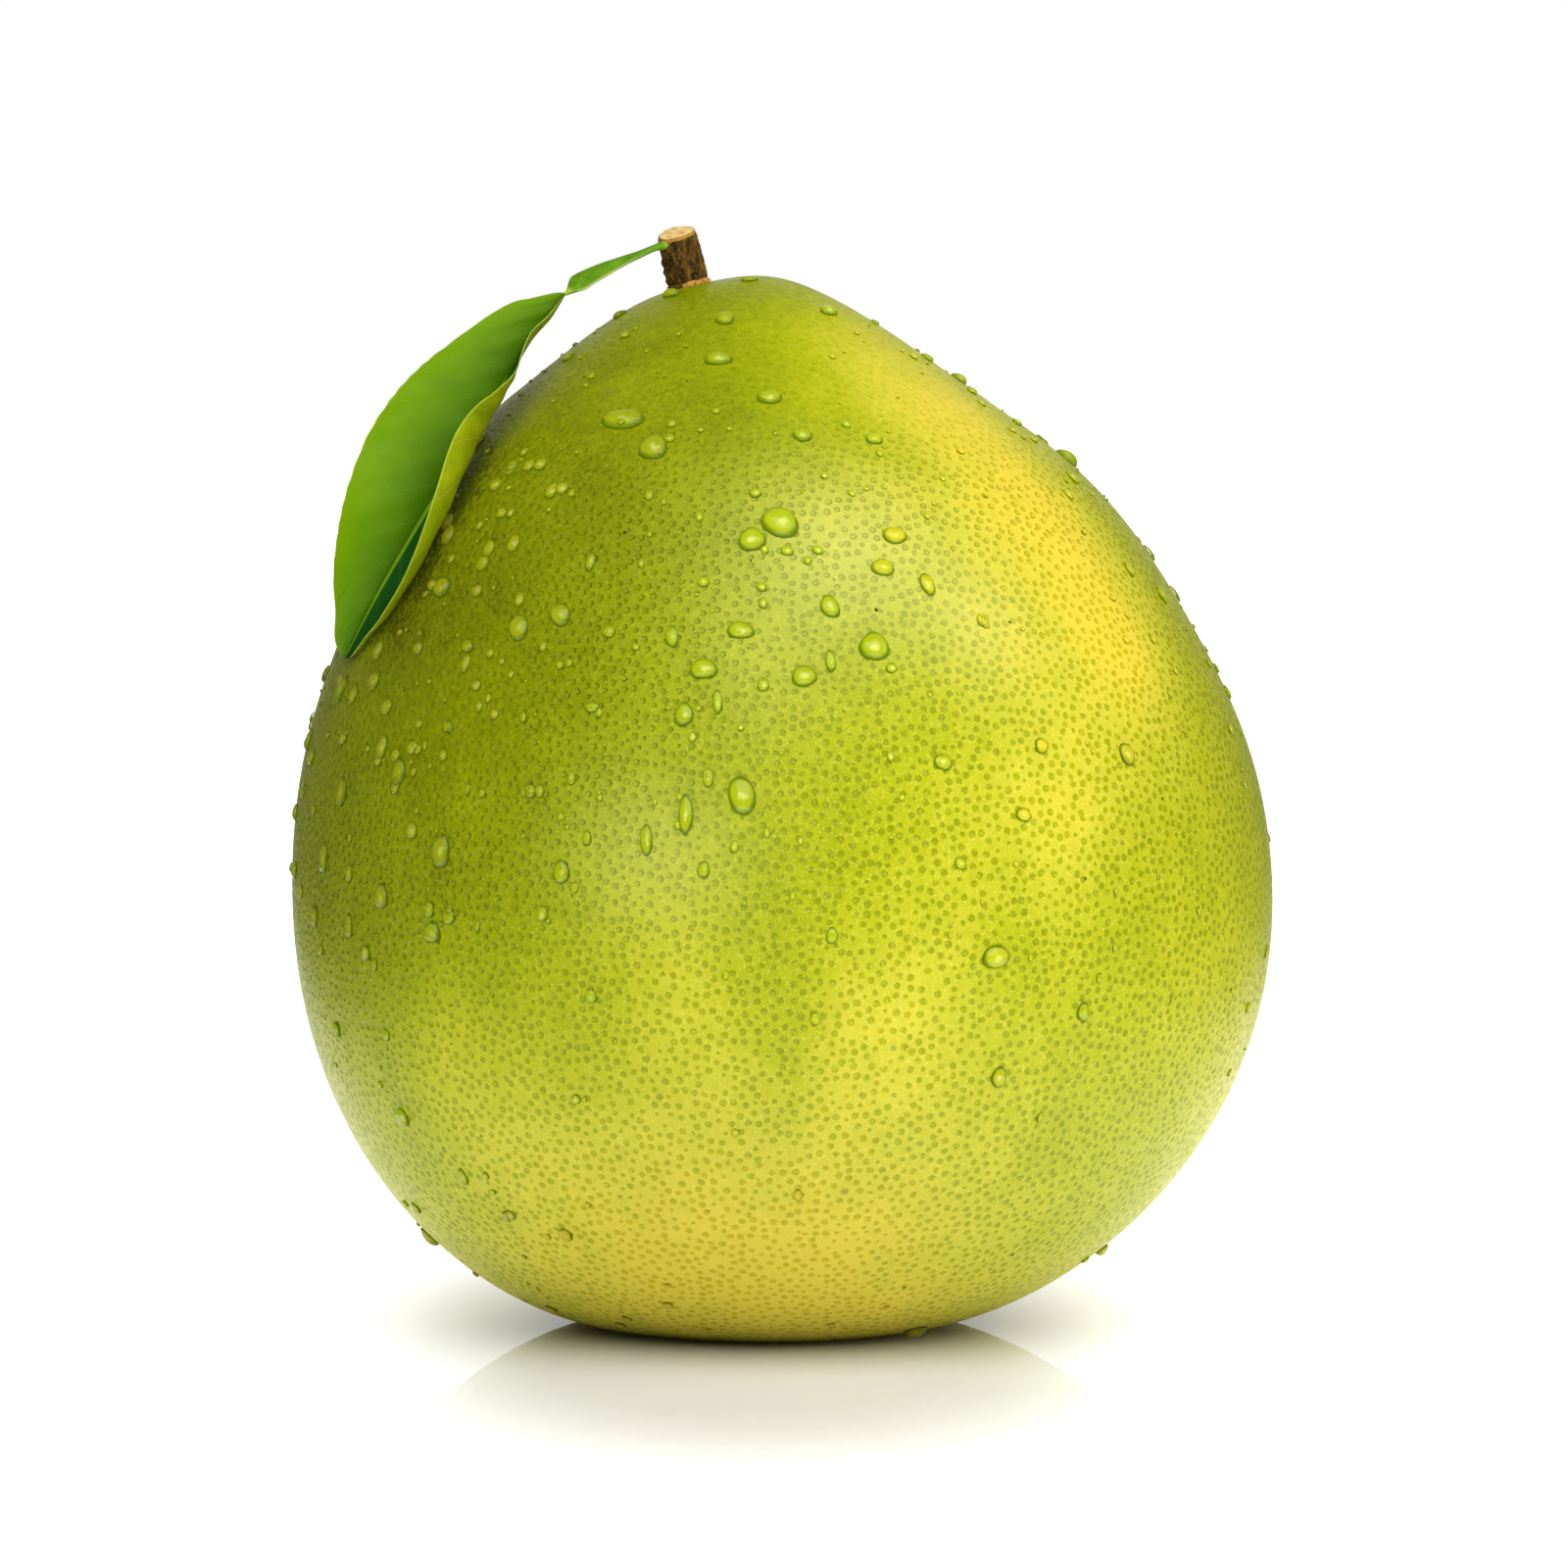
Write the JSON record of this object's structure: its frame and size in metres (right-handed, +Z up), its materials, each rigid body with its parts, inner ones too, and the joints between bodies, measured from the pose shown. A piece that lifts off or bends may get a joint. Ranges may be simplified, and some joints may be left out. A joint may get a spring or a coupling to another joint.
{
  "type": "pomelo",
  "caption": "Whole pomelo, pear shaped and rounded below, with a woody stem stub and one folded leaf on a winged stalk.",
  "frame": {"origin": "on the surface that the fruit rests on, under the middle of its belly, at the lowest level of the part", "axes": "+Z up from the foot to the stem, which is the longest extent; -Y the front; -X the side that the leaf hangs on"},
  "size_m": [0.149, 0.1469, 0.1674],
  "materials": {
    "rind": "waxy satin citrus skin, olive green turning yellow, covered in small raised green oil glands, wet with water drops",
    "dried_calyx": "dry, rough, tan to orange with an olive lower lip",
    "bark": "rough dark brown bark with olive and grey streaks, pale tan where it is cut across",
    "green_stalk": "smooth, softly shining fresh green with a pale rim",
    "leaf": "softly shining green above with fine pale veins, pale yellow-green and matt below"
  },
  "bodies": {
    "root": {"fruit": "rind", "calyx": "dried_calyx", "stem": "bark", "winged_petiole": "green_stalk", "leaf_blade": "leaf"}
  },
  "joints": []
}
